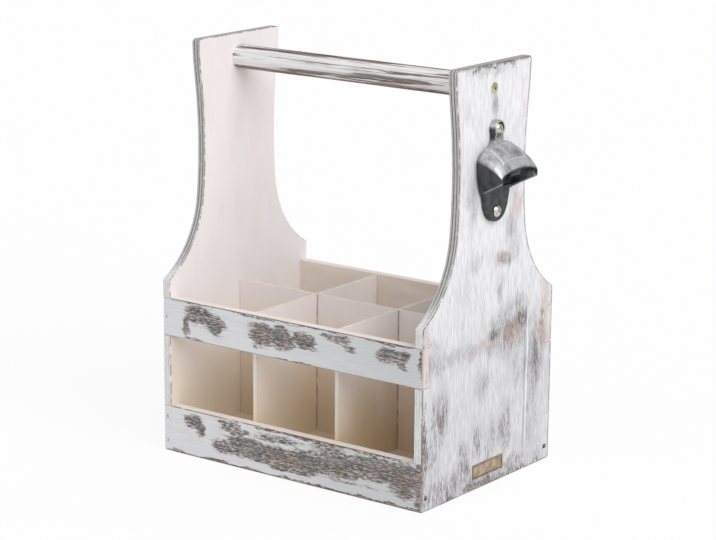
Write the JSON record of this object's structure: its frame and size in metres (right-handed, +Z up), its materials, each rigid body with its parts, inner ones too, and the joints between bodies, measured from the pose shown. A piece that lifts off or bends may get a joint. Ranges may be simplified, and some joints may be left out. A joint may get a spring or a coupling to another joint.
{
  "type": "bottle caddy",
  "caption": "Wooden bottle carrier with shaped ends, slatted walls, a lift-out divider grid, a round handle and a cast bottle opener.",
  "frame": {"origin": "on the ground under the middle of the carrier, on the plane that the end panels and bottom rails stand on", "axes": "+X along the handle towards the end with the bottle opener, +Y from the front wall to the back wall, +Z up"},
  "size_m": [0.2796, 0.176, 0.33],
  "materials": {
    "painted_plywood": "white paint, rubbed through to grey-brown wood",
    "whitewashed_plywood": "thin white wash over pale plywood",
    "painted_dowel": "white paint, rubbed in long streaks",
    "steel_brad": "dull dark steel",
    "brass_screw": "bright, raised countersunk head",
    "zinc_screw": "bright, round head",
    "cast_metal": "rough casting, pewter grey",
    "brass_plate": "satin, bare"
  },
  "bodies": {
    "carrier": {"left_end_panel": "painted_plywood", "right_end_panel": "painted_plywood", "front_bottom_rail": "painted_plywood", "front_top_rail": "painted_plywood", "back_bottom_rail": "painted_plywood", "back_top_rail": "painted_plywood", "front_brads": "steel_brad", "back_brads": "steel_brad", "floor_board": "whitewashed_plywood", "handle_dowel": "painted_dowel", "left_handle_screw": "brass_screw", "right_handle_screw": "brass_screw", "bottle_opener": "cast_metal", "lower_opener_screw": "zinc_screw", "upper_opener_screw": "zinc_screw", "blank_plate": "brass_plate"},
    "divider_grid": {"long_divider": "whitewashed_plywood", "left_cross_divider": "whitewashed_plywood", "right_cross_divider": "whitewashed_plywood"}
  },
  "joints": [
    {"name": "divider_lift", "type": "slide", "parent": "carrier", "child": "divider_grid", "axis": [0, 0, 1], "range_m": [0, 0.17]}
  ]
}
